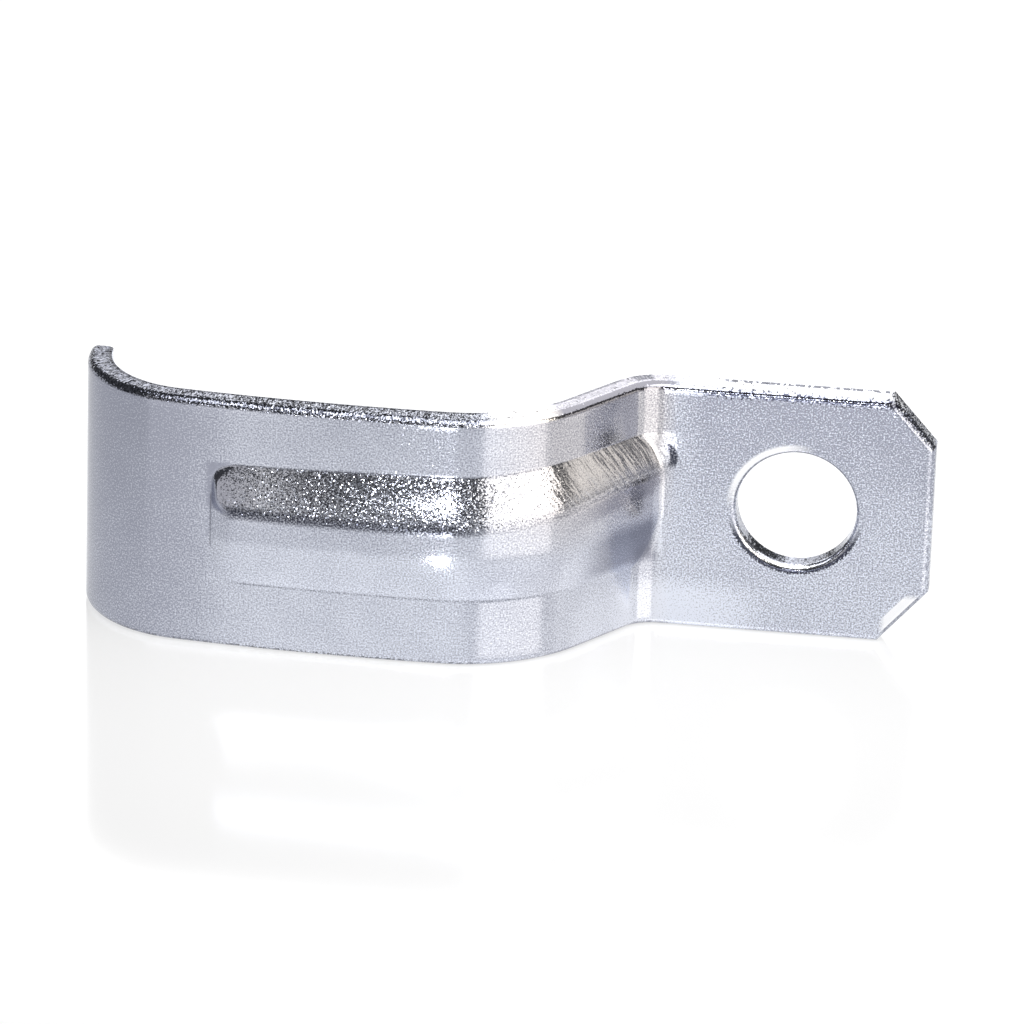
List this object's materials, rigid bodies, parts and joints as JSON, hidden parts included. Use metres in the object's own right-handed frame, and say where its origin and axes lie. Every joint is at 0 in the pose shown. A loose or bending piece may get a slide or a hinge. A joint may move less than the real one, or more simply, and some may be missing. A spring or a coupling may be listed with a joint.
{
  "type": "conduit strap",
  "caption": "Shallow one-hole conduit strap: flat screw tab with chamfered corners, short ramp, and a flat-topped hook with a raised stiffening rib.",
  "frame": {"origin": "axis of the screw hole at the wall plane, on the tab's back face", "axes": "+Z across the strip, along the conduit's run; +X from the hook towards the tab's free end; -Y away from the wall, to the side that the screw goes in from. As stored the strap stands on its long lower edge."},
  "size_m": [0.0527, 0.0116, 0.0162],
  "materials": {
    "zinc_plated_steel": "bright zinc plating with a fine speckled grain, slightly blue"
  },
  "bodies": {
    "root": {"strap": "zinc_plated_steel"}
  },
  "joints": []
}
